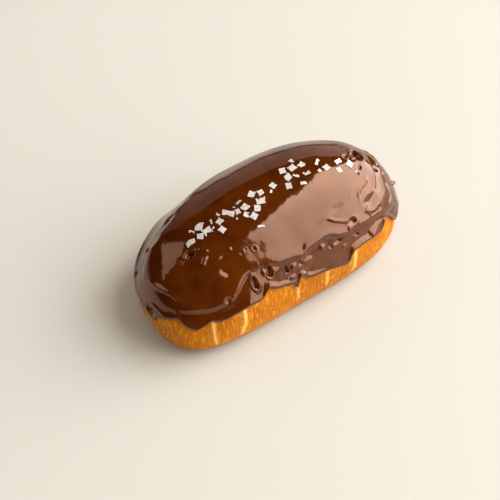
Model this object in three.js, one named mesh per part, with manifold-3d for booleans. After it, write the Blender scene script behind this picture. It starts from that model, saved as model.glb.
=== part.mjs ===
// Chocolate salt bread: a rolled bread bun, a chocolate glaze over its top and sides,
// and flakes of sea salt along its crest.
// Millimetres, +Z up. The bun lies on its flat base with its length along X and its front towards -Y.
import * as THREE from "three";
import { mergeVertices } from "three/addons/utils/BufferGeometryUtils.js";
import Module from "manifold-3d";

const wasm = await Module();
wasm.setup();

// Bun
const HALF_LENGTH = 60;
const FRONT_HALF_WIDTH = 31.5;
const BACK_HALF_WIDTH = 32.5;
const HEIGHT = 50.5;
const WAIST = 13.5; // height of its widest line
const LOWER_REACH = 20; // how far below the waist its underside would close, if the base were not flat
const LEFT_END_FULLNESS = 2.8; // exponents: 2 is an ellipse, and a larger one is squarer
const RIGHT_END_FULLNESS = 2.6;
const TOP_FULLNESS = 2.0;
const LOWER_FULLNESS = 2.7;
const NARROWING = -0.04; // change of width from the middle to the right end, as a fraction
const RISE = 0.12; // change of height from the middle to the right end, as a fraction
const CRESCENT = -7; // how far both ends curl towards the front

// Glaze
const GLAZE_THICKNESS = 1.2;
const GAP = 0.3; // clearance between pieces that touch

// Lower edge of the glaze: [degrees round the bun from its right end, height]
const DRIP_EDGE = [
  [0, 20],
  [14, 24],
  [27, 26],
  [42, 22],
  [56, 19],
  [70, 24],
  [84, 26],
  [98, 21],
  [110, 19],
  [124, 24],
  [138, 23],
  [150, 19],
  [161, 17],
  [178, 16],
  [187, 16],
  [196, 21],
  [207, 23.5],
  [219, 19.5],
  [226, 22.5],
  [232, 21.5],
  [246, 23.5],
  [253, 26],
  [258, 23.5],
  [265, 22],
  [269, 23.5],
  [274, 20.5],
  [283, 19],
  [291, 17],
  [296, 22],
  [304, 22.5],
  [312, 22.5],
  [317, 26.5],
  [324, 19.5],
  [332, 21],
  [346, 24],
];

// Salt flakes: [along the bun, across it, side of the flake]
const FLAKES = [
  [-37.5, -4, 4.5],
  [-35, -1, 2.5],
  [-31.5, -1, 3.5],
  [-30, -5, 3.5],
  [-33.5, -5, 2.5],
  [-27.5, -5.5, 1.5],
  [-27, -2.5, 2],
  [-23, -1.5, 2],
  [-24, -4.5, 2.5],
  [-25, -8, 3],
  [-19.5, -4, 4.5],
  [-17.5, -7.5, 1],
  [-15.5, -2.5, 1],
  [-13, -1, 3],
  [-15.5, -5, 2],
  [-12, -5, 3.5],
  [-13.5, -8, 2],
  [-11, -10, 3],
  [-8, -8, 2.5],
  [-6.5, -1.5, 3],
  [-5, -6, 3.5],
  [-3, -3, 2.5],
  [-10.5, -14, 3],
  [3, -3, 2.5],
  [1, -5, 1.5],
  [16.5, 3.5, 2],
  [10.5, 1, 3],
  [14.5, 0, 3],
  [19, -1, 3],
  [18, -5, 3],
  [14, -4, 3],
  [10.5, -3, 3],
  [14.5, -8, 3],
  [8.5, -6.5, 2.5],
  [25.5, -3.5, 3.5],
  [27, -7, 2.5],
  [23.5, -7, 2],
  [33.5, -6.5, 3],
  [31.5, -10, 3],
  [37.5, -9, 3],
  [38.5, -12.5, 1.5],
];
const FLAKE_HEIGHT_RATIO = 0.42; // of a flake's side
const FLAKE_TOP_RATIO = 0.55; // a flake is a small stepped pyramid, narrower at the top
const FLAKE_TURN = 2.4; // radians from one flake to the next, so that no two lie alike
const FLAKE_TILT = 0.14;

const CRUST = new THREE.MeshStandardMaterial({ color: 0xd98a32, roughness: 0.6, metalness: 0 });
const CHOCOLATE = new THREE.MeshStandardMaterial({ color: 0x45200f, roughness: 0.15, metalness: 0 });
const SALT = new THREE.MeshStandardMaterial({ color: 0xf0ebe4, roughness: 0.4, metalness: 0 });

// Half sizes of the loaf, grown by some millimetres all round.
function halfSizes(front, low, grow) {
  return {
    length: HALF_LENGTH + grow,
    width: (front ? FRONT_HALF_WIDTH : BACK_HALF_WIDTH) + grow,
    height: (low ? LOWER_REACH : HEIGHT - WAIST) + grow,
  };
}

// Curls, narrows and raises a point of the straight loaf into the bun's own crescent.
function shapeBun(x, y, z) {
  const along = x / HALF_LENGTH;
  return new THREE.Vector3(
    x,
    y * (1 + NARROWING * along) + CRESCENT * along * along,
    (z + WAIST) * (1 + RISE * along),
  );
}

// How far out a direction reaches: 1 is on the skin. u, v and w are fractions of the half sizes.
function reach(u, v, w) {
  const section = w > 0 ? TOP_FULLNESS : LOWER_FULLNESS;
  const ends = u < 0 ? LEFT_END_FULLNESS : RIGHT_END_FULLNESS;
  const across = (Math.abs(v) ** section + Math.abs(w) ** section) ** (ends / section);
  return (across + Math.abs(u) ** ends) ** (1 / ends);
}

// The skin point in a direction, on the loaf grown by some millimetres.
function skinPoint(u, v, w, grow) {
  const half = halfSizes(v < 0, w < 0, grow);
  const r = reach(u, v, w);
  return shapeBun((u / r) * half.length, (v / r) * half.width, (w / r) * half.height);
}

// The skin point straight above a place on the table.
function crestPoint(x, y, grow) {
  const along = x / HALF_LENGTH;
  const straightY = (y - CRESCENT * along * along) / (1 + NARROWING * along);
  const half = halfSizes(straightY < 0, false, grow);
  const ends = x < 0 ? LEFT_END_FULLNESS : RIGHT_END_FULLNESS;
  const section = (1 - Math.abs(x / half.length) ** ends) ** (1 / ends);
  const w = Math.sqrt(section ** 2 - (straightY / half.width) ** 2);
  return shapeBun(x, straightY, w * half.height);
}

// Height of the glaze's lower edge at an angle round the bun, eased from one station to the next.
function dripHeight(degrees) {
  const after = DRIP_EDGE.findIndex((station) => station[0] > degrees);
  const [angleB, heightB] = after < 0 ? [360, DRIP_EDGE[0][1]] : DRIP_EDGE[after];
  const [angleA, heightA] = DRIP_EDGE[(after < 0 ? DRIP_EDGE.length : after) - 1];
  const part = THREE.MathUtils.smoothstep(degrees, angleA, angleB);
  return THREE.MathUtils.lerp(heightA, heightB, part);
}

// The w that puts the skin at the drip edge's height, in the direction of u and v.
function dripDirection(u, v) {
  const degrees = (THREE.MathUtils.radToDeg(Math.atan2(v, u)) + 360) % 360;
  const level = dripHeight(degrees);
  let w = 0;
  for (let pass = 0; pass < 12; pass += 1) {
    const r = reach(u, v, w);
    const height = level / (1 + (RISE * u) / r) - WAIST;
    w = (height / (HEIGHT - WAIST)) * r;
  }
  return w;
}

// A box of side 2 with shared corners, whose faces are cut into rows and columns.
function cutBox(columns, depth, rows) {
  const box = new THREE.BoxGeometry(2, 2, 2, columns, depth, rows);
  box.deleteAttribute("normal");
  box.deleteAttribute("uv");
  return mergeVertices(box);
}

// Spreads the rows of a box face evenly over the round skin.
const even = (s) => Math.tan((s * Math.PI) / 4);

function movePoints(geometry, place) {
  const position = geometry.getAttribute("position");
  const point = new THREE.Vector3();
  for (let i = 0; i < position.count; i += 1) {
    point.fromBufferAttribute(position, i);
    position.setXYZ(i, ...place(point).toArray());
  }
  return geometry;
}

function toSolid(geometry) {
  return new wasm.Manifold(
    new wasm.Mesh({
      numProp: 3,
      vertProperties: new Float32Array(geometry.getAttribute("position").array),
      triVerts: new Uint32Array(geometry.index.array),
    }),
  );
}

function toGeometry(solid) {
  const mesh = solid.getMesh();
  return new THREE.BufferGeometry()
    .setAttribute("position", new THREE.BufferAttribute(mesh.vertProperties, 3))
    .setIndex(new THREE.BufferAttribute(mesh.triVerts, 1));
}

// Bun: a box rounded onto the loaf, with everything below the table cut off flat.
function bunGeometry() {
  const rounded = movePoints(cutBox(28, 16, 12), (p) =>
    skinPoint(even(p.x), even(p.y), even(p.z), 0),
  );
  const below = new THREE.BoxGeometry(3 * HALF_LENGTH, 3 * HALF_LENGTH, 2 * LOWER_REACH);
  below.translate(0, 0, -LOWER_REACH);
  below.deleteAttribute("normal");
  below.deleteAttribute("uv");
  return toGeometry(toSolid(rounded).subtract(toSolid(mergeVertices(below))));
}

// A box with no bottom, laid over the loaf so that its lower rim follows the drip edge.
function glazeSheet(grow) {
  const box = cutBox(32, 18, 7);
  const bottom = box.groups[box.groups.length - 1];
  box.setIndex(Array.from(box.index.array).slice(0, bottom.start));
  return movePoints(mergeVertices(box.toNonIndexed()), (p) => {
    const u = even(p.x);
    const v = even(p.y);
    const onTop = p.z === 1;
    const lowest = onTop ? 0 : Math.atan(dripDirection(u, v));
    const w = Math.tan(THREE.MathUtils.mapLinear(p.z, -1, 1, lowest, Math.PI / 4));
    return skinPoint(u, v, w, grow);
  });
}

// Glaze: an outer and an inner sheet, joined by a wall along their open rims.
function glazeGeometry() {
  const outer = glazeSheet(GAP + GLAZE_THICKNESS);
  const inner = glazeSheet(GAP);
  const count = outer.getAttribute("position").count;
  const faces = Array.from(outer.index.array);
  const edges = new Set();
  const all = [];
  for (let i = 0; i < faces.length; i += 3) {
    const [a, b, c] = faces.slice(i, i + 3);
    all.push(a, b, c);
    all.push(a + count, c + count, b + count);
    edges.add(a + "," + b).add(b + "," + c).add(c + "," + a);
  }
  for (const edge of edges) {
    const [a, b] = edge.split(",").map(Number);
    if (!edges.has(b + "," + a)) {
      all.push(b, a, a + count);
      all.push(b, a + count, b + count);
    }
  }
  const points = new Float32Array(6 * count);
  points.set(outer.getAttribute("position").array, 0);
  points.set(inner.getAttribute("position").array, 3 * count);
  const shell = new THREE.BufferGeometry()
    .setAttribute("position", new THREE.BufferAttribute(points, 3))
    .setIndex(all);
  return toGeometry(toSolid(mergeVertices(shell)));
}

// Which way the glaze faces, straight above a place on the table.
function crestNormal(x, y, grow) {
  const step = 0.5;
  const alongX = crestPoint(x + step, y, grow).sub(crestPoint(x - step, y, grow));
  const alongY = crestPoint(x, y + step, grow).sub(crestPoint(x, y - step, grow));
  return alongX.cross(alongY).normalize();
}

// A salt flake: a low four-sided pyramid with its tip off, lying on the glaze with a slight tilt.
function saltFlake(number, x, y, side) {
  const height = FLAKE_HEIGHT_RATIO * side;
  const corner = side / Math.SQRT2;
  const shape = new THREE.CylinderGeometry(FLAKE_TOP_RATIO * corner, corner, height, 4);
  shape.translate(0, height / 2, 0);
  const flake = new THREE.Mesh(shape, SALT);
  flake.name = "salt_flake_" + String(number).padStart(2, "0");
  const grow = GAP + GLAZE_THICKNESS;
  const normal = crestNormal(x, y, grow);
  const turn = number * FLAKE_TURN;
  const tilt = new THREE.Vector3(Math.cos(turn), 0, Math.sin(turn));
  flake.quaternion.setFromUnitVectors(new THREE.Vector3(0, 1, 0), normal);
  flake.rotateOnAxis(tilt, FLAKE_TILT);
  flake.rotateY(turn);
  const lift = GAP + corner * Math.sin(FLAKE_TILT);
  flake.position.copy(crestPoint(x, y, grow)).addScaledVector(normal, lift);
  return flake;
}

const bun = new THREE.Mesh(bunGeometry(), CRUST);
bun.name = "bread_bun";

const glaze = new THREE.Mesh(glazeGeometry(), CHOCOLATE);
glaze.name = "chocolate_glaze";

const salt = new THREE.Group();
FLAKES.forEach(([x, y, side], i) => salt.add(saltFlake(i + 1, x, y, side)));

// The bread stands with the middle of its outer box over the origin.
const standing = new THREE.Group();
standing.add(bun, glaze, salt);
const middle = new THREE.Box3().setFromObject(standing).getCenter(new THREE.Vector3());
standing.position.set(-middle.x, -middle.y, 0);

const bread = new THREE.Group();
bread.add(standing);

export default bread;
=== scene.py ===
# %% [markdown]
# # Chocolate salt bread
# A salt bread is a strip of dough rolled up on itself and baked on its seam, so it has a round
# top, a flat base and faint lines where the rolled layers meet. This one was then turned over,
# dipped in melted chocolate and sprinkled with coarse salt. The frame gives the size and place
# of each piece, and this lesson makes the fine surfaces around it: bread first, then the
# chocolate that follows the bread, then the salt that sits on the chocolate.

# %% Load the frame
import math
import random

import bmesh
import bpy
import numpy as np
from mathutils import Matrix, Vector, noise
from mathutils.bvhtree import BVHTree


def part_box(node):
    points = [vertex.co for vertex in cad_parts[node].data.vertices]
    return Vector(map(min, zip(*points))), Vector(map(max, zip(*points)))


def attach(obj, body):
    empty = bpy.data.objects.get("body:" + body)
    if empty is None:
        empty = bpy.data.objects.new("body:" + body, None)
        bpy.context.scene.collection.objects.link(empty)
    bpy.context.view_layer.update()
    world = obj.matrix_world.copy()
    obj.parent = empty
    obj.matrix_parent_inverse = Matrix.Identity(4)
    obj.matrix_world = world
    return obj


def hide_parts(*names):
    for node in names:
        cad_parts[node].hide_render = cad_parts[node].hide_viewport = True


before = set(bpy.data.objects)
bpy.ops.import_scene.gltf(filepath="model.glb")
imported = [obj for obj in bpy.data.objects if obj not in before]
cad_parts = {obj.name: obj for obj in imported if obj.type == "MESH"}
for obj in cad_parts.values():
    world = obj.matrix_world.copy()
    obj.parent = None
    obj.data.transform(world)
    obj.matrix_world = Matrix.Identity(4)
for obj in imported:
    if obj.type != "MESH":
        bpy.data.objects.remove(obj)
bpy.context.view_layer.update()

MM = 0.001

# %% [markdown]
# ## The skin of the bun
# A bun could be sculpted from a sphere, but then it would not lie where the frame says. So the
# bun's skin is a formula: a superellipsoid, which is an ellipsoid whose exponents make it a
# little squarer, with a fuller left end, a higher right end and both ends curled to the front.
# u, v and w are fractions of the half length, half width and half height. All of this is in
# millimetres, and only the finished meshes are turned to metres.

# %% Skin formula
bun_low, bun_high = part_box("bread_bun")
HALF_LENGTH = (bun_high.x - bun_low.x) / 2 / MM
FRONT_HALF_WIDTH = 31.5
BACK_HALF_WIDTH = 32.5
HEIGHT = 50.5
WAIST = 13.5
LOWER_REACH = 20.0
LEFT_FULLNESS, RIGHT_FULLNESS = 2.8, 2.6
TOP_FULLNESS, LOWER_FULLNESS = 2.0, 2.7
NARROWING, RISE, CRESCENT = -0.04, 0.12, -7.0


def smooth(low, high, value):
    """0 below low, 1 above high, and an S-shaped ramp between them."""
    t = np.clip((value - low) / (high - low), 0, 1)
    return t * t * (3 - 2 * t)


def reach(uvw):
    """How far out each direction goes: 1 is on the skin."""
    u, v, w = np.abs(uvw).T
    section = np.where(uvw[:, 2] > 0, TOP_FULLNESS, LOWER_FULLNESS)
    ends = np.where(uvw[:, 0] < 0, LEFT_FULLNESS, RIGHT_FULLNESS)
    across = (v ** section + w ** section) ** (ends / section)
    return (across + u ** ends) ** (1 / ends)


def skin(uvw):
    """The skin points in these directions, one row each, in millimetres."""
    u, v, w = (uvw / reach(uvw)[:, None]).T
    x = u * HALF_LENGTH
    y = v * np.where(v < 0, FRONT_HALF_WIDTH, BACK_HALF_WIDTH)
    z = w * np.where(w < 0, LOWER_REACH, HEIGHT - WAIST)
    y = y * (1 + NARROWING * u) + CRESCENT * u * u + shift_y
    return np.stack([x + shift_x, y, (z + WAIST) * (1 + RISE * u)], axis=1)


def direction(points):
    """The u, v, w of points, which undoes what skin() does."""
    x, y, z = (np.atleast_2d(points).astype(float) - [shift_x, shift_y, 0]).T
    u = x / HALF_LENGTH
    y = (y - CRESCENT * u * u) / (1 + NARROWING * u)
    z = z / (1 + RISE * u) - WAIST
    v = y / np.where(y < 0, FRONT_HALF_WIDTH, BACK_HALF_WIDTH)
    w = z / np.where(z < 0, LOWER_REACH, HEIGHT - WAIST)
    return np.stack([u, v, w], axis=1)


shift_x = shift_y = 0.0
turn = np.linspace(0, 2 * np.pi, 721)
waistline = skin(np.stack([np.cos(turn), np.sin(turn), 0 * turn - 1e-6], axis=1))
middle = (waistline.max(axis=0) + waistline.min(axis=0)) / 2
shift_x = (bun_high.x + bun_low.x) / 2 / MM - middle[0]
shift_y = (bun_high.y + bun_low.y) / 2 / MM - middle[1]
print("formula moved onto the frame by", round(shift_x, 3), round(shift_y, 3), "mm")

# %% [markdown]
# ## Sculpting by numbers
# Three small tools do the sculpting, and each gives a height in millimetres for every point of
# a mesh. `dab` presses one dent or raises one bump, `stroke` runs a ridge or groove along a
# path, and `grain` is smooth noise of a chosen size. A place is given by two of its coordinates
# and the name of the side it lies on, and the skin's formula gives the third.

# %% Sculpting tools
SIDES = {"left": (0, -1), "right": (0, 1), "front": (1, -1), "back": (1, 1), "top": (2, 1)}


def on_side(place):
    """A skin point given by two coordinates and, in place of the third, the side it lies on."""
    axis, sign = next(SIDES[part] for part in place if isinstance(part, str))
    point = [0.0 if isinstance(part, str) else float(part) for part in place]
    inside, outside = 0.0, 80.0
    for _ in range(24):
        point[axis] = sign * (inside + outside) / 2
        if reach(direction([point]))[0] < 1:
            inside = abs(point[axis])
        else:
            outside = abs(point[axis])
    return point


def onto_skin(points):
    return skin(direction(points))


def skin_normals(points):
    """Which way the skin faces at each point: the slope of reach() in the three directions."""
    step = 0.05
    slopes = [reach(direction(points + step * axis)) - reach(direction(points - step * axis))
              for axis in np.eye(3)]
    slope = np.stack(slopes, axis=1)
    return slope / np.linalg.norm(slope, axis=1)[:, None]


def dab(points, place, size, height, edge=2.0, turn=0.0, rim=0.0):
    """One dent (height below 0) or bump. size is its half length and half width, turn is in
    degrees, a larger edge makes steeper walls, and rim raises a ring round it."""
    centre = onto_skin([on_side(place)])[0]
    normal = skin_normals(centre[None])[0]
    level = np.array([0, 1.0, 0]) if abs(normal[0]) > 0.85 else np.array([1.0, 0, 0])
    along = level - (level @ normal) * normal
    along /= np.linalg.norm(along)
    up = np.cross(normal, along)
    angle = math.radians(turn)
    total = np.zeros(len(points))
    near = np.abs(points - centre).max(axis=1) < 2.2 * max(size)
    far = points[near] - centre
    a = (far @ along) * math.cos(angle) + (far @ up) * math.sin(angle)
    b = (far @ up) * math.cos(angle) - (far @ along) * math.sin(angle)
    q = np.sqrt((a / size[0]) ** 2 + (b / size[1]) ** 2 + (0.3 * (far @ normal)) ** 2)
    bowl = np.clip(1 - q ** edge, 0, 1) ** 2
    ring = np.exp(-(((q - 1.1) / 0.28) ** 2))
    total[near] = height * bowl + rim * ring
    return total


def curve_through(stations, pieces=10):
    """A smooth curve through some stations (Catmull-Rom), as closely spaced points."""
    stations = np.array(stations, float)
    padded = np.vstack([2 * stations[0] - stations[1], stations, 2 * stations[-1] - stations[-2]])
    t = np.linspace(0, 1, pieces, endpoint=False)[:, None]
    parts = []
    for p0, p1, p2, p3 in zip(padded, padded[1:], padded[2:], padded[3:]):
        bend = (2 * p0 - 5 * p1 + 4 * p2 - p3) * t ** 2 + (3 * p1 - p0 - 3 * p2 + p3) * t ** 3
        parts.append(p1 + 0.5 * ((p2 - p0) * t + bend))
    return np.vstack(parts + [stations[-1:]])


def stroke(points, path, width, height, taper=0.35):
    """A ridge or groove along a path, thinning out over the taper share of each end."""
    line = onto_skin(curve_through([on_side(place) for place in path], 12))
    near = np.all((points > line.min(0) - 3 * width) & (points < line.max(0) + 3 * width), axis=1)
    result = np.zeros(len(points))
    if near.any():
        gaps = np.linalg.norm(points[near][:, None] - line[None], axis=2)
        place = gaps.argmin(axis=1) / (len(line) - 1)
        fade = smooth(0, taper, place) * smooth(0, taper, 1 - place)
        result[near] = height * np.exp(-((gaps.min(axis=1) / width) ** 2)) * fade
    return result


def grain(points, size, seed=0, stretch=(1, 1, 1)):
    """Smooth noise between about -1 and 1, with lumps of this many millimetres."""
    scaled = points / (np.array(stretch) * size) + 17.3 * seed
    return np.array([noise.noise(place) for place in scaled.tolist()])


# %% [markdown]
# ## The drip edge
# Melted chocolate runs down after dipping and sets in a wavy edge. Its height is given at
# stations round the bun, as degrees from the right end, and eased between them.

# %% Drip edge
DRIP_EDGE = [
    (0, 20), (14, 24), (27, 26), (42, 22), (56, 19), (70, 24), (84, 26), (98, 21), (110, 19),
    (124, 24), (138, 23), (150, 19), (161, 17), (172, 16.5), (181, 15.5), (187, 15.5), (190, 18.5),
    (196, 21), (203, 22.5), (207, 23.5), (213, 21), (219, 19.5), (223, 21), (226, 22.5),
    (231, 21.5), (237, 22), (243, 23), (249, 23), (251, 25), (253, 26), (256, 24.5), (259, 23.5),
    (265, 22), (269, 23.5), (271, 22.5), (273, 20.5), (279, 19.5), (285, 18.5), (291, 17),
    (293, 19.5), (296, 22), (304, 22.5), (311, 22.5), (315, 26), (318, 26.5), (321, 23),
    (324, 19.5), (332, 21), (346, 22.5), (360, 20),
]
THIN_RUN = (266.5, 3.2, 0.6)     # one thin run of chocolate: degrees, length, half width


def drip_height(uvw):
    """Height of the chocolate's lower edge in each direction, with a fine natural wobble."""
    degrees = np.degrees(np.arctan2(uvw[:, 1], uvw[:, 0])) % 360
    stations = curve_through(DRIP_EDGE, 12)
    level = np.interp(degrees, stations[:, 0], stations[:, 1])
    around = np.stack([uvw[:, 0], uvw[:, 1], 0 * degrees], axis=1)
    around = around / np.linalg.norm(around, axis=1)[:, None] * 30
    wobble = 0.3 * grain(around, 2.4, seed=3) + 0.2 * grain(around, 1.1, seed=4)
    at, length, half_width = THIN_RUN
    return level + wobble - length * np.exp(-(((degrees - at) / half_width) ** 2))


def drip_direction(uvw):
    """The w that puts the skin at the drip edge's height, for the same u and v."""
    level = drip_height(uvw)
    w = np.zeros(len(uvw))
    for _ in range(14):
        tried = np.stack([uvw[:, 0], uvw[:, 1], w], axis=1)
        out = reach(tried)
        w = (level / (1 + RISE * tried[:, 0] / out) - WAIST) / (HEIGHT - WAIST) * out
    return w


# %% [markdown]
# ## What the bread does under the chocolate
# The chocolate coat is thin, so the dents and folds seen in it are mostly the bread's own. The
# front has a fold line where the top layer of the roll overhangs the lower side, and the
# chocolate sinks into pockets below it. Both the bun and the coat use this one relief, so the
# coat always lies on the bread.

# %% Relief of the bread
# Folds: [along the bun, height of the line], for the front and the back
FRONT_FOLD = [
    (-62, 26), (-57, 27), (-47, 28.5), (-40, 28.5), (-33, 30), (-27, 34.5), (-24, 36),
    (-18, 36.5), (-14, 36), (-10, 34.5), (-7, 34), (-3, 33.5), (1, 32), (4, 33.5), (10, 34.5),
    (13, 35), (16, 34.5), (20, 32.5), (24, 31.5), (27, 32), (36, 31), (41, 30.5), (45, 29.5),
    (62, 26),
]
BACK_FOLD = [
    (-62, 24), (-52, 31), (-42, 37), (-32, 40), (-12, 37.5), (0, 38), (20, 41), (40, 42.5),
    (50, 40), (62, 29),
]
DENTS = [
    # place, half size, height, edge, turn, rim
    ((-22.5, "front", 31.5), (1.3, 3.2), -1.8, 5, 4, 0.1),    # tall pockets under the fold line
    ((-15, "front", 33), (1.5, 2.8), -2.0, 5, -4, 0.1),
    ((-17.5, "front", 33.5), (1.2, 2.0), 0.5, 2, 10, 0),
    ((-7.5, "front", 30.5), (0.9, 1.9), -1.4, 5, 0, 0.1),
    ((-4, "front", 30), (2.5, 2.0), 0.5, 2, 10, 0),
    ((-5, "front", 26), (3.0, 1.4), 0.4, 2, 0, 0),
    ((3.5, "front", 29), (3.0, 2.4), 0.4, 3, 0, 0),
    ((11, "front", 31.5), (1.8, 2.0), 0.5, 3, 20, 0),
    ((19, "front", 31), (3.0, 1.2), -0.8, 3, 12, 0),
    ((21.5, "front", 27), (2.5, 1.5), 0.4, 2, 20, 0),
    ((29, "front", 29), (0.8, 0.8), -1.2, 4, 0, 0.2),
    ((27.5, "front", 28.5), (1.5, 1.5), 0.4, 2, 0, 0),
    ((22, "front", 42.5), (5.0, 1.8), -0.5, 2, 8, 0),         # soft dents of the dome
    ((27, "front", 36), (2.5, 1.8), -1.0, 2.4, -10, 0.15),
    ((25, "front", 34), (1.5, 1.0), 0.4, 2, 0, 0),
    ((39, "front", 38), (4.5, 3.5), -0.5, 2, 0, 0.15),
    ((36, "front", 39), (0.9, 0.9), -0.4, 2, 0, 0),
    ((-35.5, "front", 29.5), (2.0, 2.0), -0.7, 2, 0, 0),
    ((-40.5, -9, "top"), (2.0, 1.5), -1.6, 5, 15, 0.2),       # torn skin near the left end
    ((-38, -8, "top"), (0.9, 0.9), 0.5, 2, 0, 0),
    ((-44.5, -8, "top"), (1.7, 1.7), -0.5, 3, 0, 0.05),
    ((43.5, -5.5, "top"), (1.9, 3.5), -2.2, 5, 0, 0.2),       # burst bubble near the right end
    ((38, -5, "top"), (1.6, 0.9), -0.8, 3, 0, 0.15),
    ((38.5, -13.5, "top"), (0.8, 0.8), -0.5, 3, 0, 0.2),
    ((41, -4, "top"), (0.9, 0.9), 0.8, 2, 0, 0),
    ((51, -10.5, "top"), (0.9, 1.4), -0.4, 2, 0, 0),
    ((51, -14, "top"), (0.9, 1.2), -0.4, 2, 0, 0),
    (("left", -8.5, 20.5), (3.4, 2.2), -1.2, 3, 0, 0.1),      # gathered left end
    (("left", -8.5, 20.5), (1.8, 1.1), 1.0, 2, 0, 0),
    (("left", 15, 37.5), (1.6, 1.6), -1.0, 3, 0, 0),
    (("left", 12, 30), (1.2, 1.8), -1.0, 3, 0, 0),
    (("left", 9, 22), (1.0, 2.0), -0.9, 3, 0, 0),
    ((-46, "back", 35), (4.0, 2.2), -0.7, 2.4, -20, 0.1),     # lumps of the back
    ((-36, "back", 36), (5.0, 3.0), 0.5, 2, 0, 0),
    ((-18, "back", 32), (5.0, 3.0), -0.8, 2.2, 10, 0.1),
    ((2, "back", 32), (6.0, 2.6), -0.9, 2.4, -8, 0.1),
    ((20, "back", 35), (4.0, 3.4), -0.8, 2, 0, 0),
    ((34, "back", 38), (5.0, 3.0), 0.4, 2, 0, 0),
    ((47, "back", 36), (2.6, 3.6), -0.8, 2.4, 0, 0.1),
]
WEDGE_LIP = [(35, "front", 25), (40, "front", 26.5), (46, "front", 28.5)]


def fold_recess(points, edge_height, fold_line):
    """The step under a fold line, down to the drip edge."""
    line = curve_through(fold_line)
    fold = np.interp(points[:, 0], line[:, 0], line[:, 1])
    below = fold - points[:, 2]
    tall = np.maximum(fold - edge_height, 3.0)
    step = smooth(-0.4, 1.6, below) * (1 - smooth(0.4, 1.0, below / tall))
    shoulder = np.exp(-(((below + 1.6) / 1.6) ** 2))
    return 0.3 * shoulder - 1.2 * step


def bread_relief(points, uvw, edge_height):
    """Height of the bread above the smooth formula, in millimetres, for each point."""
    x = points[:, 0]
    front = smooth(0.15, 0.45, -uvw[:, 1]) * smooth(-62, -50, x) * (1 - smooth(46, 56, x))
    front = front * (0.35 + 0.15 * smooth(-12, -8, x) + 0.5 * smooth(-2, 4, x))
    back = smooth(0.15, 0.45, uvw[:, 1]) * smooth(-62, -50, x) * (1 - smooth(48, 58, x))
    total = 0.2 * grain(points, 17, seed=1) + 0.09 * grain(points, 7.5, seed=2)
    total += fold_recess(points, edge_height, FRONT_FOLD) * front
    total += fold_recess(points, edge_height, BACK_FOLD) * back
    total += stroke(points, WEDGE_LIP, 1.9, 0.8, taper=0.12)
    for place, size, height, edge, turned, rim in DENTS:
        total += dab(points, place, size, height, edge, turned, rim)
    return total


# %% [markdown]
# ## A box to start from
# A round piece with poles would pinch its details together, so the bun and its coat both start
# as a cube cut into an even grid. Each corner of the grid is then sent out to the skin.

# %% Cut cube
def cut_cube(columns, depth, rows, open_below=False):
    """A cube of side 2, cut into a grid with this many faces along X, Y and Z."""
    bm = bmesh.new()
    bmesh.ops.create_cube(bm, size=2)
    if open_below:
        bottom = [face for face in bm.faces if face.normal.z < -0.5]
        bmesh.ops.delete(bm, geom=bottom, context="FACES_ONLY")
    for axis, count in enumerate((columns, depth, rows)):
        whole = [e for e in bm.edges if abs(e.verts[0].co[axis] - e.verts[1].co[axis]) > 1]
        bmesh.ops.subdivide_edges(bm, edges=whole, cuts=count - 1, use_grid_fill=True)
    return bm


def read_points(mesh):
    flat = np.empty(3 * len(mesh.vertices))
    mesh.vertices.foreach_get("co", flat)
    return flat.reshape(-1, 3)


def write_points(mesh, points):
    mesh.vertices.foreach_set("co", points.ravel())
    mesh.update()


def read_normals(mesh):
    flat = np.empty(3 * len(mesh.vertices))
    mesh.vertex_normals.foreach_get("vector", flat)
    return flat.reshape(-1, 3)


def add_attribute(mesh, name, values):
    layer = mesh.attributes.new(name, "FLOAT", "POINT")
    layer.data.foreach_set("value", np.asarray(values, np.float32))


def finish_piece(bm, name):
    """Turns a bmesh into a smooth-shaded object of the scene and frees it."""
    mesh = bpy.data.meshes.new(name)
    bm.to_mesh(mesh)
    bm.free()
    mesh.shade_smooth()
    piece = bpy.data.objects.new(name, mesh)
    bpy.context.scene.collection.objects.link(piece)
    return piece


def even(grid):
    """Spreads a cube's rows evenly over the round skin."""
    return np.tan(grid * np.pi / 4)


# %% [markdown]
# ## Bun
# The bun's side keeps the marks of its making. The rolled layers meet in a few upright lines
# that stretched open in the oven and stayed pale, the left end shows the turns of the roll as
# fine arcs, and the base is flat with a soft round edge, because the dough lay on a tray. The
# marks are raised here in the mesh, and their strength is stored in an attribute, so that the
# crust's colour can follow them.

# %% Bun mesh
LAYER_LINES = [
    # path up the side, half width, height
    ([(-43, "front", 24), (-44, "front", 17), (-42, "front", 6)], 0.7, 0.35),
    ([(-30, "front", 26), (-30, "front", 17), (-32, "front", 6)], 0.9, 0.4),
    ([(27, "front", 26), (27, "front", 18), (26, "front", 7)], 0.9, 0.35),
    ([(-3, "front", 25), (-3, "front", 10)], 0.7, 0.15),
    ([(12, "front", 22), (12, "front", 8)], 0.7, 0.15),
    ([(-35, "back", 25), (-36, "back", 17), (-34, "back", 8)], 0.9, 0.35),
    ([(-8, "back", 26), (-7, "back", 18), (-8.5, "back", 8)], 0.8, 0.3),
    ([(19, "back", 24), (20, "back", 17), (18.5, "back", 8)], 0.9, 0.35),
    ([(40, "back", 24), (41, "back", 16), (39, "back", 8)], 0.7, 0.3),
]
END_TURNS = {"left": on_side(("left", -12, 14.5)), "right": on_side(("right", -8, 16))}
RING_SPACING = 2.1       # from one arc of the roll to the next
BASE_ROUNDING = 1.3
BUN_GRID = (158, 84, 62)


def end_rings(points, centre):
    """Fine arcs round a rolled end: a wave that follows the distance from its eye."""
    far = points - np.array(centre)
    distance = np.sqrt(far[:, 1] ** 2 + (1.15 * far[:, 2]) ** 2 + (0.4 * far[:, 0]) ** 2)
    distance = distance + 0.5 * grain(points, 5, seed=8)
    fade = smooth(1.0, 3.0, distance) * (1 - smooth(8, 13, distance))
    return np.sin(distance * 2 * np.pi / RING_SPACING) * fade


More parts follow.
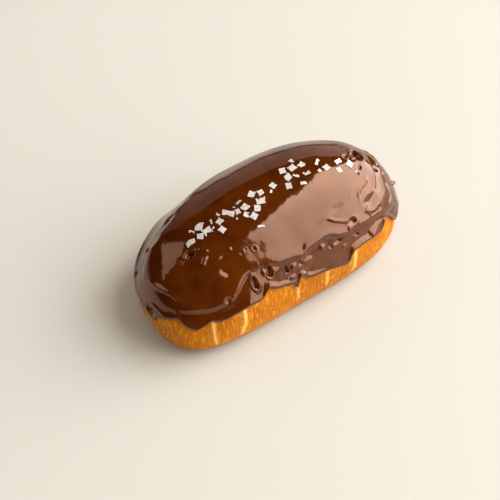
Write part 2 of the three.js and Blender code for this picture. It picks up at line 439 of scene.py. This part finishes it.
def make_bun():
    bm = cut_cube(*BUN_GRID)
    piece = finish_piece(bm, "bun_crust")
    mesh = piece.data
    grid = read_points(mesh)
    uvw = even(grid)
    points = skin(uvw)
    write_points(mesh, points)
    normals = read_normals(mesh)
    edge_height = drip_height(uvw)
    lift = bread_relief(points, uvw, edge_height)
    pale = np.zeros(len(points))
    for path, width, height in LAYER_LINES:
        line = stroke(points, path, width, 1.0, taper=0.2)
        lift += height * line
        pale += line
    arcs = end_rings(points, END_TURNS["left"]) + end_rings(points, END_TURNS["right"])
    lift += 0.16 * arcs
    bare = 1 - smooth(0.0, 2.5, points[:, 2] - edge_height)
    fine = 0.1 * grain(points, 2.4, seed=5, stretch=(0.6, 0.6, 1.6))
    fine += 0.05 * grain(points, 1.2, seed=6, stretch=(0.7, 0.7, 1.4))
    lift += fine * bare
    points = points + normals * lift[:, None]
    z = points[:, 2]
    soft = (z + BASE_ROUNDING) ** 2 / (4 * BASE_ROUNDING)
    points[:, 2] = np.where(z > BASE_ROUNDING, z, np.where(z < -BASE_ROUNDING, 0, soft))
    write_points(mesh, points * MM)
    add_attribute(mesh, "pale", np.clip(pale, 0, 1))
    add_attribute(mesh, "arcs", np.clip(arcs, -1, 1))
    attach(piece, "root")
    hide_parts("bread_bun")
    return piece


bun = make_bun()
print("bun:", len(bun.data.polygons), "faces")

# %% [markdown]
# ## Marks in the chocolate
# While it sets, chocolate wrinkles, runs and traps air. Ridges and grooves are strokes along a
# few points, and burst or unbroken bubbles are single dabs. They could be painted as bumps, but
# real height lets them catch the light at their true size.

# %% Flow marks
FLOW_MARKS = [
    # path, half width, height
    ([(-37, -8.5, "top"), (-33.5, -12.5, "top")], 0.9, 0.5),                # near the left end
    ([(-34.5, -12.5, "top"), (-37.5, -14, "top"), (-39.5, -16, "top")], 0.8, 0.6),
    ([(-36, -16.5, "top"), (-33.5, -16.5, "top"), (-29, -15.5, "top")], 0.45, 0.45),
    ([(-34, -19, "top"), (-32, -21, "top"), (-30.5, -23, "top")], 1.5, -0.4),
    ([(-22.5, "front", 48), (-21, "front", 47.5), (-18.5, "front", 47.5)], 0.35, 0.1),
    ([("left", 0, 27.5), ("left", -4.5, 30), ("left", -9, 31), ("left", -14.5, 31.5),
      ("left", -19, 30), ("left", -20.5, 27)], 0.8, 0.5),
    ([("left", -5.5, 23.5), ("left", -11, 24), ("left", -15.5, 23.5), ("left", -17.5, 22.5)],
     0.6, 0.5),
    ([("left", -18, 28.5), ("left", -20.5, 25.5), ("left", -20.5, 23.5)], 0.6, 0.45),
    ([("left", 12.5, 36), ("left", 14, 40), ("left", 15.5, 42.5)], 0.8, 0.4),
    ([(-52, "front", 28.5), (-45, "front", 28.5), (-39, "front", 28.5)], 1.4, 0.35),
    ([(42, -13.5, "top"), (41, -15.5, "top"), (40, -17, "top"), (37, -18, "top"),
      (34.5, -19.5, "top"), (33.5, -21.5, "top"), (31.5, -22.5, "top")], 0.7, 0.4),
    ([(31.5, -22.5, "top"), (26, -25, "top"), (20, "front", 39), (16, "front", 41),
      (10, "front", 40)], 0.7, 0.35),
    ([(46.5, -12, "top"), (45, -16, "top"), (43.5, -18.5, "top"), (41, -20, "top")], 0.6, 0.35),
    ([(51, -11.5, "top"), (48.5, -16, "top"), (47.5, -20, "top"), (44.5, -22.5, "top"),
      (43.5, -24, "top"), (43.5, -26.5, "top")], 0.8, 0.5),
    ([(50.5, -16, "top"), (51, -18.5, "top"), (51, -21, "top"), (49.5, -22.5, "top"),
      (47.5, -24, "top")], 0.6, 0.45),
    ([(53.5, -19.5, "top"), (53, -22, "top"), (51.5, -24, "top")], 0.6, 0.4),
    ([(50, 0, "top"), (52, -2, "top"), (53, -5, "top"), (54.5, -8, "top")], 0.7, 0.5),
    ([(46.5, -2.5, "top"), (46.5, -5, "top"), (45.5, -8, "top"), (44, -10.5, "top")], 0.6, 0.6),
    ([(49.5, -4.5, "top"), (49, -8.5, "top"), (48.5, -12, "top"), (47, -14.5, "top")], 1.4, -0.7),
    ([(36.5, -4.5, "top"), (38, -6, "top"), (39.5, -7.5, "top")], 0.5, -0.6),
    ([(42, -10, "top"), (40, -12.5, "top")], 0.6, -0.7),
    ([(36, -22.5, "top"), (35.5, -24, "top"), (36, -25, "top"), (36.5, -26, "top")], 0.5, 0.3),
    ([(-1.5, "front", 31.5), (0, "front", 29)], 0.6, -0.9),
    ([(13.5, "front", 33), (15.5, "front", 29)], 0.6, -0.7),
    ([("right", 7, 36), ("right", 0, 34), ("right", -7, 33)], 0.7, 0.4),    # hidden right end
]
BUBBLES = [
    # place, half size, height, edge, rim
    ((-17.5, "front", 41.5), 0.8, -0.8, 4, 0.15),
    ((-16.5, "front", 41.5), 0.6, 0.35, 2, 0),
    ((-21, "front", 42), 0.5, -0.3, 3, 0.1),
    ((-22, "front", 41.5), 0.4, 0.25, 2, 0),
    ((-24, -19, "top"), 0.4, 0.25, 2, 0),
    ((-26.5, -15.5, "top"), 0.7, 0.6, 2, 0),
    ((-32.5, "front", 30), 0.8, 0.35, 2, 0),
    (("left", -4, 36), 0.7, 0.3, 2, 0),
    (("left", -8, 35.5), 0.7, 0.35, 2, 0),
    (("left", -8.5, 33.5), 0.7, 0.3, 2, 0),
    ((32.5, -17.5, "top"), 0.6, 0.25, 2, 0),
    ((30.5, -19.5, "top"), 0.6, 0.25, 2, 0),
    ((40, -17.5, "top"), 0.8, -0.35, 2, 0.15),
    ((41, -20, "top"), 0.9, 0.4, 2, 0),
    ((56, -15.5, "top"), 1.1, 1.6, 3, 0),
]


def glaze_relief(points):
    """Height of the chocolate above an even coat, in millimetres."""
    total = 0.06 * grain(points, 9, seed=11) + 0.03 * grain(points, 4.2, seed=12)
    total += 0.008 * grain(points, 1.9, seed=13)
    for path, width, height in FLOW_MARKS:
        total += stroke(points, path, width, height)
    for place, size, height, edge, rim in BUBBLES:
        total += dab(points, place, (size, size), height, edge, 0, rim)
    ragged_end = smooth(46, 58, points[:, 0]) * smooth(16, 26, points[:, 2])
    total += ragged_end * 0.3 * grain(points, 3.2, seed=14, stretch=(1, 0.7, 2.4))
    burst = onto_skin([on_side((41, -4, "top"))])
    crusted = np.exp(-(np.linalg.norm(points - burst, axis=1) / 4.0) ** 2)
    total += crusted * 0.35 * grain(points, 1.5, seed=15)
    return total


# %% [markdown]
# ## Chocolate coat
# The coat is a real shell: an outer skin, an inner skin on the bread, and a rounded lip where it
# ends. The open cube is extruded once, so that each point of the grid has a twin, and one of
# the two is then raised by the coat's thickness. The outer sheet is cut once more, because only
# it shows the small marks. Towards the drip edge the thickness falls away along a quarter
# circle, as surface tension leaves it, with a slightly fuller bead above.

# %% Coat mesh
COAT_THICKNESS = 1.35
LIP_RADIUS = 1.5
TUCKED_IN = 0.4          # how far the inner skin sinks into the bread
ROWS_TO_EDGE = 0.15      # share by which the rows crowd together at the drip edge
COAT_GRID = (116, 58, 33)


def make_coat():
    bm = cut_cube(*COAT_GRID, open_below=True)
    outer = bm.verts.layers.float.new("outer")
    grown = bmesh.ops.extrude_face_region(bm, geom=bm.faces[:], use_keep_orig=True)["geom"]
    for part in grown:
        if isinstance(part, bmesh.types.BMVert):
            part[outer] = 1.0
    bmesh.ops.recalc_face_normals(bm, faces=bm.faces[:])
    seen = [edge for edge in bm.edges if all(vert[outer] > 0.5 for vert in edge.verts)]
    bmesh.ops.subdivide_edges(bm, edges=seen, cuts=1, use_grid_fill=True)
    piece = finish_piece(bm, "chocolate_coat")
    mesh = piece.data
    is_outer = np.empty(len(mesh.vertices))
    mesh.attributes["outer"].data.foreach_get("value", is_outer)
    grid = read_points(mesh)
    uvw = even(grid)
    on_top = grid[:, 2] > 0.999
    down = (1 - grid[:, 2]) / 2
    down = down + ROWS_TO_EDGE * (down - down ** 6)
    rim = uvw.copy()
    rim[:, 2] = drip_direction(uvw)
    lowest = np.arctan(rim[:, 2])
    side = np.tan(np.pi / 4 + (lowest - np.pi / 4) * down)
    uvw[:, 2] = np.where(on_top, 1.0, side)
    points = skin(uvw)
    edge_height = drip_height(uvw)
    from_edge = np.where(on_top, 99.0, np.linalg.norm(points - skin(rim), axis=1))
    rounding = np.sqrt(1 - (1 - np.clip(from_edge / LIP_RADIUS, 0, 1)) ** 2)
    bead = 0.3 * np.exp(-(((from_edge - 1.8) / 1.2) ** 2))
    coat = rounding * (COAT_THICKNESS + bead + glaze_relief(points))
    bread = bread_relief(points, uvw, edge_height)
    lift = bread + np.where(is_outer > 0.5, coat, -TUCKED_IN)
    points = points + skin_normals(points) * lift[:, None]
    write_points(mesh, points * MM)
    mesh.attributes.remove(mesh.attributes["outer"])
    add_attribute(mesh, "from_edge", from_edge)
    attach(piece, "root")
    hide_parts("chocolate_glaze")
    return piece


coat = make_coat()
print("coat:", len(coat.data.polygons), "faces")

# %% [markdown]
# ## Salt flakes
# Flaky sea salt grows on the surface of warm brine as hollow, stepped pyramids, which break into
# squarish bits. Each flake starts as a cut cube with drawn-out corners and hollow sides, loses
# a corner or two to a cutting plane and has its edges softened, and the larger ones have smaller
# bits grown onto them. It is then laid on the coat where the frame has it, found by looking
# straight down on the coat.

# %% Salt flake meshes
rng = random.Random(20)
FLAKE_SHARE = 0.95       # a flake's width as a share of its box's side


def crystal_bit(size, thick):
    """One ragged crystal plate: pointed corners, hollow sides and a stepped top."""
    bm = bmesh.new()
    bmesh.ops.create_cube(bm, size=1)
    bmesh.ops.subdivide_edges(bm, edges=bm.edges[:], cuts=2, use_grid_fill=True)
    hollow = rng.uniform(0.06, 0.2)
    crown = rng.choice((-0.35, -0.25, 0.25, 0.45))
    for vert in bm.verts:
        x, y, z = vert.co
        corner = 4 * abs(x * y)
        centre = (1 - 4 * x * x) * (1 - 4 * y * y)
        spread = 1 + hollow * (corner - 0.6) + rng.uniform(-0.09, 0.09) - 0.22 * (z + 0.5)
        lift = z * thick + (z > 0) * thick * crown * centre + rng.uniform(-0.05, 0.05) * thick
        vert.co = Vector((x * spread, y * spread, lift))
    for _ in range(rng.choice((0, 1, 1, 2))):
        around = rng.uniform(0, 2 * math.pi)
        facing = Vector((math.cos(around), math.sin(around), rng.uniform(-0.2, 0.5))).normalized()
        cut = bmesh.ops.bisect_plane(
            bm, geom=bm.verts[:] + bm.edges[:] + bm.faces[:],
            plane_co=facing * rng.uniform(0.34, 0.46), plane_no=facing, clear_outer=True)
        rim_edges = [part for part in cut["geom_cut"] if isinstance(part, bmesh.types.BMEdge)]
        bmesh.ops.holes_fill(bm, edges=rim_edges, sides=0)
    bmesh.ops.triangulate(bm, faces=bm.faces[:])
    sharp = [edge for edge in bm.edges if edge.calc_face_angle(0) > 0.45]
    bmesh.ops.bevel(
        bm, geom=sharp, offset=0.012, offset_type="OFFSET", segments=1, profile=0.5,
        affect="EDGES", clamp_overlap=True, material=-1)
    width = rng.uniform(0.86, 1.0)
    bmesh.ops.scale(bm, vec=(size, size * width, size), verts=bm.verts)
    return bm


def add_bit(bm, bit, place, spin, tilt):
    """Joins one more bit into a flake, turned and moved, and frees it."""
    move = Matrix.Translation(place) @ Matrix.Rotation(spin, 4, "Z")
    bmesh.ops.transform(bit, matrix=move @ Matrix.Rotation(tilt, 4, "X"), verts=bit.verts)
    holder = bpy.data.meshes.new("bit")
    bit.to_mesh(holder)
    bit.free()
    bm.from_mesh(holder)
    bpy.data.meshes.remove(holder)


def flake_shape(side):
    """A flake about as wide as side: one plate, often with a smaller bit grown onto it."""
    bm = crystal_bit(side * 0.86, rng.uniform(0.5, 0.75))
    if side > 2.2 * MM:
        for _ in range(rng.choice((1, 1, 2, 2))):
            around = rng.uniform(0, 2 * math.pi)
            out = side * rng.uniform(0.18, 0.42)
            place = Vector((out * math.cos(around), out * math.sin(around), 0.14 * side))
            bit = crystal_bit(side * rng.uniform(0.3, 0.5), rng.uniform(0.5, 0.8))
            add_bit(bm, bit, place, rng.uniform(0, 2 * math.pi), rng.uniform(-0.5, 0.5))
    return bm


def lay_flake(node, surface):
    """Lays a flake on the coat where the frame has that node, and gives its object."""
    low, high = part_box(node)
    centre = (low + high) / 2
    side = (high.x - low.x + high.y - low.y) / 2 * FLAKE_SHARE
    place, normal, _, _ = surface.ray_cast(Vector((centre.x, centre.y, 1)), Vector((0, 0, -1)))
    bm = flake_shape(side)
    tilt = Matrix.Rotation(rng.uniform(-0.28, 0.28), 4, "X")
    spin = Matrix.Rotation(rng.uniform(0, 2 * math.pi), 4, "Z")
    upright = Vector((0, 0, 1)).rotation_difference(normal).to_matrix().to_4x4()
    lowest = min((tilt @ vert.co).z for vert in bm.verts)
    move = Matrix.Translation(place - normal * lowest * 0.75) @ upright @ spin @ tilt
    bmesh.ops.transform(bm, matrix=move, verts=bm.verts)
    bmesh.ops.recalc_face_normals(bm, faces=bm.faces[:])
    piece = finish_piece(bm, "crystal_" + node[-2:])
    piece.data.set_sharp_from_angle(angle=math.radians(25))
    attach(piece, "root")
    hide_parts(node)
    return piece


bpy.context.view_layer.update()
coat_surface = BVHTree.FromObject(coat, bpy.context.evaluated_depsgraph_get())
flake_nodes = sorted(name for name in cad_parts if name.startswith("salt_flake"))
crystals = [lay_flake(node, coat_surface) for node in flake_nodes]
print("salt:", len(crystals), "crystals,", sum(len(c.data.polygons) for c in crystals), "faces")

# %% [markdown]
# ## Mixing materials
# Each material below is a small graph of nodes. One helper adds a node, sets it and links it.
# Patterns read Object coordinates, which are in metres here, so a pattern's scale is one over
# its real size: a lump of 3 mm has scale 1000 / 3.

# %% Node helper
def add_node(tree, kind, inputs=None, **settings):
    """Adds a node, sets its properties, and sets or links each of its inputs."""
    made = tree.nodes.new(kind)
    for name, value in settings.items():
        setattr(made, name, value)
    for socket, value in (inputs or {}).items():
        if isinstance(value, bpy.types.NodeSocket):
            tree.links.new(value, made.inputs[socket])
        else:
            made.inputs[socket].default_value = value
    return made


def linear(hex_colour):
    """An sRGB hex colour, such as D98A22, as the linear RGBA that shaders use."""
    parts = [int(hex_colour[i:i + 2], 16) / 255 for i in (0, 2, 4)]
    return [p / 12.92 if p <= 0.04045 else ((p + 0.055) / 1.055) ** 2.4 for p in parts] + [1.0]


def per_mm(size):
    """The pattern scale that gives lumps of this many millimetres."""
    return 1000 / size


def new_material(name):
    material = bpy.data.materials.new(name)
    material.use_nodes = True
    material.node_tree.nodes.clear()
    return material, material.node_tree


MIX_A, MIX_B, MIX_OUT = 6, 7, 2      # the colour sockets of a Mix node

# %% [markdown]
# ## Baked crust
# Crust is dough whose outside dried and browned: a satin, slightly translucent skin. It is
# golden on the side, browner at the base where it touched the tray, and it carries pale
# stretch flecks that run up the side, plus tiny white blisters.

# %% Crust material
def baked_crust():
    material, tree = new_material("baked_crust")
    place = add_node(tree, "ShaderNodeTexCoord").outputs["Object"]
    upright = add_node(tree, "ShaderNodeMapping", {"Vector": place, "Scale": (1, 1, 0.24)})
    patches = add_node(tree, "ShaderNodeTexNoise",
                       {"Vector": place, "Scale": per_mm(14), "Detail": 3.0, "Roughness": 0.6})
    patchy = add_node(tree, "ShaderNodeMapRange",
                      {"Value": patches.outputs["Fac"], "From Min": 0.35, "From Max": 0.65})
    golden = add_node(tree, "ShaderNodeMix",
                      {0: patchy.outputs["Result"], MIX_A: linear("B96F03"),
                       MIX_B: linear("A25601")}, data_type="RGBA")
    flecks = add_node(tree, "ShaderNodeTexNoise",
                      {"Vector": upright.outputs["Vector"], "Scale": per_mm(1.0),
                       "Detail": 3.0, "Roughness": 0.6})
    fleck = add_node(tree, "ShaderNodeMapRange",
                     {"Value": flecks.outputs["Fac"], "From Min": 0.5, "From Max": 0.68,
                      "To Max": 0.6}, interpolation_type="SMOOTHSTEP")
    flecked = add_node(tree, "ShaderNodeMix",
                       {0: fleck.outputs["Result"], MIX_A: golden.outputs[MIX_OUT],
                        MIX_B: linear("DCA02C")}, data_type="RGBA")
    blisters = add_node(tree, "ShaderNodeTexVoronoi",
                        {"Vector": place, "Scale": per_mm(2.4), "Randomness": 1.0})
    blister = add_node(tree, "ShaderNodeMapRange",
                       {"Value": blisters.outputs["Distance"], "From Min": 0.16,
                        "From Max": 0.06, "To Max": 0.5}, interpolation_type="SMOOTHSTEP")
    blistered = add_node(tree, "ShaderNodeMix",
                         {0: blister.outputs["Result"], MIX_A: flecked.outputs[MIX_OUT],
                          MIX_B: linear("E8C98A")}, data_type="RGBA")
    pale = add_node(tree, "ShaderNodeAttribute", attribute_name="pale")
    stretched = add_node(tree, "ShaderNodeMix",
                         {0: pale.outputs["Fac"], MIX_A: blistered.outputs[MIX_OUT],
                          MIX_B: linear("E4B960")}, data_type="RGBA")
    height = add_node(tree, "ShaderNodeSeparateXYZ", {"Vector": place})
    low = add_node(tree, "ShaderNodeMapRange",
                   {"Value": height.outputs["Z"], "From Min": 3.5 * MM, "From Max": 0.0,
                    "To Max": 0.85}, interpolation_type="SMOOTHSTEP")
    based = add_node(tree, "ShaderNodeMix",
                     {0: low.outputs["Result"], MIX_A: stretched.outputs[MIX_OUT],
                      MIX_B: linear("8E480C")}, data_type="RGBA")
    arcs = add_node(tree, "ShaderNodeAttribute", attribute_name="arcs")
    arc = add_node(tree, "ShaderNodeMapRange",
                   {"Value": arcs.outputs["Fac"], "From Min": 0.1, "From Max": 0.9, "To Max": 0.5})
    ringed = add_node(tree, "ShaderNodeMix",
                      {0: arc.outputs["Result"], MIX_A: based.outputs[MIX_OUT],
                       MIX_B: linear("D6A860")}, data_type="RGBA")
    fine = add_node(tree, "ShaderNodeTexNoise",
                    {"Vector": place, "Scale": per_mm(0.5), "Detail": 3.0, "Roughness": 0.6})
    pores = add_node(tree, "ShaderNodeBump",
                     {"Height": fine.outputs["Fac"], "Strength": 0.35, "Distance": 0.25 * MM})
    raised = add_node(tree, "ShaderNodeBump",
                      {"Height": flecks.outputs["Fac"], "Normal": pores.outputs["Normal"],
                       "Strength": 0.5, "Distance": 0.6 * MM})
    rough = add_node(tree, "ShaderNodeMapRange",
                     {"Value": fine.outputs["Fac"], "To Min": 0.42, "To Max": 0.62})
    shader = add_node(tree, "ShaderNodeBsdfPrincipled",
                      {"Base Color": ringed.outputs[MIX_OUT],
                       "Roughness": rough.outputs["Result"], "IOR": 1.45,
                       "Specular IOR Level": 0.12, "Normal": raised.outputs["Normal"]})
    add_node(tree, "ShaderNodeOutputMaterial", {"Surface": shader.outputs["BSDF"]})
    return material


bun.data.materials.append(baked_crust())
print("crust painted")

# %% [markdown]
# ## Set chocolate
# Chocolate that set on warm bread is smooth and glossy but not a mirror: cocoa butter leaves a
# faint cloudiness, so a light is reflected as a soft brown-pink patch with a slightly ragged
# edge. Where nothing is reflected it is a deep, warm brown, with painted shade near its edge.

# %% Chocolate material
def set_chocolate():
    material, tree = new_material("set_chocolate")
    place = add_node(tree, "ShaderNodeTexCoord").outputs["Object"]
    clouds = add_node(tree, "ShaderNodeTexNoise",
                      {"Vector": place, "Scale": per_mm(11), "Detail": 4.0, "Roughness": 0.6})
    cloudy = add_node(tree, "ShaderNodeMapRange",
                      {"Value": clouds.outputs["Fac"], "From Min": 0.35, "From Max": 0.65})
    brown = add_node(tree, "ShaderNodeMix",
                     {0: cloudy.outputs["Result"], MIX_A: linear("3E1803"),
                      MIX_B: linear("502303")}, data_type="RGBA")
    from_edge = add_node(tree, "ShaderNodeAttribute", attribute_name="from_edge")
    # painted shade: within 2.5 mm of the drip edge the brown is mixed towards a darker brown, for
    # the shade under the rounded lip
    lip_shade = add_node(tree, "ShaderNodeMapRange",
                    {"Value": from_edge.outputs["Fac"], "From Min": 2.5, "From Max": 0.0,
                     "To Max": 0.5}, interpolation_type="SMOOTHSTEP")
    lip_shaded = add_node(tree, "ShaderNodeMix",
                     {0: lip_shade.outputs["Result"], MIX_A: brown.outputs[MIX_OUT],
                      MIX_B: linear("341206")}, data_type="RGBA")
    ripples = add_node(tree, "ShaderNodeTexNoise",
                       {"Vector": place, "Scale": per_mm(1.6), "Detail": 2.0, "Roughness": 0.5})
    wavy = add_node(tree, "ShaderNodeBump",
                    {"Height": ripples.outputs["Fac"], "Strength": 0.1, "Distance": 0.12 * MM})
    specks = add_node(tree, "ShaderNodeTexNoise",
                      {"Vector": place, "Scale": per_mm(0.45), "Detail": 2.0, "Roughness": 0.5})
    rough = add_node(tree, "ShaderNodeMapRange",
                     {"Value": specks.outputs["Fac"], "To Min": 0.05, "To Max": 0.1})
    shader = add_node(tree, "ShaderNodeBsdfPrincipled",
                      {"Base Color": lip_shaded.outputs[MIX_OUT],
                       "Roughness": rough.outputs["Result"], "IOR": 1.47,
                       "Specular IOR Level": 0.95, "Specular Tint": linear("FFD3B8"),
                       "Normal": wavy.outputs["Normal"]})
    add_node(tree, "ShaderNodeOutputMaterial", {"Surface": shader.outputs["BSDF"]})
    return material


coat.data.materials.append(set_chocolate())
print("chocolate painted")

# %% [markdown]
# ## Sea salt
# Salt crystals are clear, but full of tiny brine pockets and frosted by rubbing, so they look
# white with soft grey facets. A little light passes through them.

# %% Salt material
def sea_salt():
    material, tree = new_material("sea_salt")
    place = add_node(tree, "ShaderNodeTexCoord").outputs["Object"]
    frost = add_node(tree, "ShaderNodeTexNoise",
                     {"Vector": place, "Scale": per_mm(1.1), "Detail": 4.0, "Roughness": 0.65})
    frosted = add_node(tree, "ShaderNodeMapRange",
                       {"Value": frost.outputs["Fac"], "From Min": 0.35, "From Max": 0.6})
    white = add_node(tree, "ShaderNodeMix",
                     {0: frosted.outputs["Result"], MIX_A: linear("A5A2A0"),
                      MIX_B: linear("C6C3C1")}, data_type="RGBA")
    scratched = add_node(tree, "ShaderNodeBump",
                         {"Height": frost.outputs["Fac"], "Strength": 0.5, "Distance": 0.3 * MM})
    rough = add_node(tree, "ShaderNodeMapRange",
                     {"Value": frost.outputs["Fac"], "To Min": 0.25, "To Max": 0.55})
    shader = add_node(tree, "ShaderNodeBsdfPrincipled",
                      {"Base Color": white.outputs[MIX_OUT],
                       "Roughness": rough.outputs["Result"], "IOR": 1.544,
                       "Subsurface Weight": 0.1, "Subsurface Radius": (0.0015, 0.0014, 0.0013),
                       "Subsurface Scale": 0.6, "Normal": scratched.outputs["Normal"]})
    add_node(tree, "ShaderNodeOutputMaterial", {"Surface": shader.outputs["BSDF"]})
    return material


salt_white = sea_salt()
for crystal in crystals:
    crystal.data.materials.append(salt_white)
print("salt painted")

# %% [markdown]
# ## Table
# The bread lies on a plain pale table. Its colour is painted darker far away, as shade where the
# light falls off, so that the glossy chocolate doesn't reflect a bright horizon.

# %% Table
def make_table():
    bm = bmesh.new()
    bmesh.ops.create_grid(bm, x_segments=2, y_segments=2, size=3)
    table = finish_piece(bm, "table")
    material, tree = new_material("pale_table")
    place = add_node(tree, "ShaderNodeTexCoord").outputs["Object"]
    far = add_node(tree, "ShaderNodeVectorMath", {0: place}, operation="LENGTH")
    # painted shade: from 0.2 to 0.42 m out the table's colour turns dark, for light falling off
    falloff_shade = add_node(tree, "ShaderNodeMapRange",
                   {"Value": far.outputs["Value"], "From Min": 0.2, "From Max": 0.42},
                   interpolation_type="SMOOTHSTEP")
    tone = add_node(tree, "ShaderNodeMix",
                    {0: falloff_shade.outputs["Result"], MIX_A: linear("BCBCB6"), MIX_B: linear("3A3632")},
                    data_type="RGBA")
    shader = add_node(tree, "ShaderNodeBsdfPrincipled",
                      {"Base Color": tone.outputs[MIX_OUT], "Roughness": 0.6})
    add_node(tree, "ShaderNodeOutputMaterial", {"Surface": shader.outputs["BSDF"]})
    table.data.materials.append(material)


make_table()

# %% [markdown]
# ## Camera
# A long lens looks down on the bread from its front left, so the length of the crest is seen.

# %% Camera
CAMERA_PLACE = Vector((-0.198, -0.287, 0.432))
CAMERA_TARGET = Vector((0, 0.009, 0))
LENS = 90.5

camera_data = bpy.data.cameras.new("camera")
camera_data.lens = LENS
camera_data.sensor_width = 36
camera_data.clip_start = 0.01
camera = bpy.data.objects.new("camera", camera_data)
camera.location = CAMERA_PLACE
camera.rotation_euler = (CAMERA_TARGET - CAMERA_PLACE).to_track_quat("-Z", "Y").to_euler()
bpy.context.scene.collection.objects.link(camera)
bpy.context.scene.camera = camera

# %% [markdown]
# ## Light
# A tall soft light stands at the camera's right, and it both lights the bread and gives the big
# pale reflection on the chocolate. Two weak panels behind and at the left draw the narrow bands
# along the back of the crest.

# %% Lights
ahead = (CAMERA_TARGET - CAMERA_PLACE)
ahead = Vector((ahead.x, ahead.y, 0)).normalized()
right = Vector((ahead.y, -ahead.x, 0))


def glowing_screen(name, sideways, forward, height, width, tall, glow, tint):
    """An upright glowing screen that faces the bread. Places are in metres as seen from the
    camera: to its right, ahead of it and up. glow is the radiance at the screen's right end,
    middle and left end, as seen from the bread."""
    bm = bmesh.new()
    bmesh.ops.create_grid(bm, x_segments=1, y_segments=1, size=0.5)
    bmesh.ops.scale(bm, vec=(width, tall, 1), verts=bm.verts)
    screen = finish_piece(bm, name)
    screen.location = right * sideways + ahead * forward + Vector((0, 0, height))
    level = Vector((0, 0, height)) - screen.location
    screen.rotation_euler = level.to_track_quat("-Z", "Y").to_euler()
    screen.visible_camera = False
    material, tree = new_material(name)
    place = add_node(tree, "ShaderNodeTexCoord").outputs["Object"]
    across = add_node(tree, "ShaderNodeSeparateXYZ", {"Vector": place})
    near = add_node(tree, "ShaderNodeMapRange",
                    {"Value": across.outputs["X"], "From Min": -width / 2, "From Max": 0.0,
                     "To Min": glow[0], "To Max": glow[1]})
    far = add_node(tree, "ShaderNodeMapRange",
                   {"Value": across.outputs["X"], "From Min": 0.0, "From Max": width / 2,
                    "To Min": 0.0, "To Max": glow[2] - glow[1]})
    strength = add_node(tree, "ShaderNodeMath", {0: near.outputs["Result"],
                                                 1: far.outputs["Result"]}, operation="ADD")
    shine = add_node(tree, "ShaderNodeEmission",
                     {"Color": linear(tint), "Strength": strength.outputs["Value"]})
    add_node(tree, "ShaderNodeOutputMaterial", {"Surface": shine.outputs["Emission"]})
    screen.data.materials.append(material)


glowing_screen("window_light", 1.0, 0.03, 1.4, 1.93, 2.8, (3.3, 6.8, 7.0), "FFFBF6")
glowing_screen("back_light", -0.18, 1.2, 0.42, 2.04, 0.84, (1.6, 0.5, 0.15), "FFF4EA")
glowing_screen("left_light", -1.0, 0.18, 0.86, 0.65, 0.92, (1.2, 1.4, 1.2), "FFF4EA")

world = bpy.data.worlds.new("dim_room")
world.use_nodes = True
world.node_tree.nodes["Background"].inputs["Color"].default_value = linear("FFEBD8")
world.node_tree.nodes["Background"].inputs["Strength"].default_value = 0.6
world.cycles_visibility.glossy = False
bpy.context.scene.world = world

bpy.context.scene.view_settings.view_transform = "Standard"
bpy.context.scene.cycles.use_denoising = True
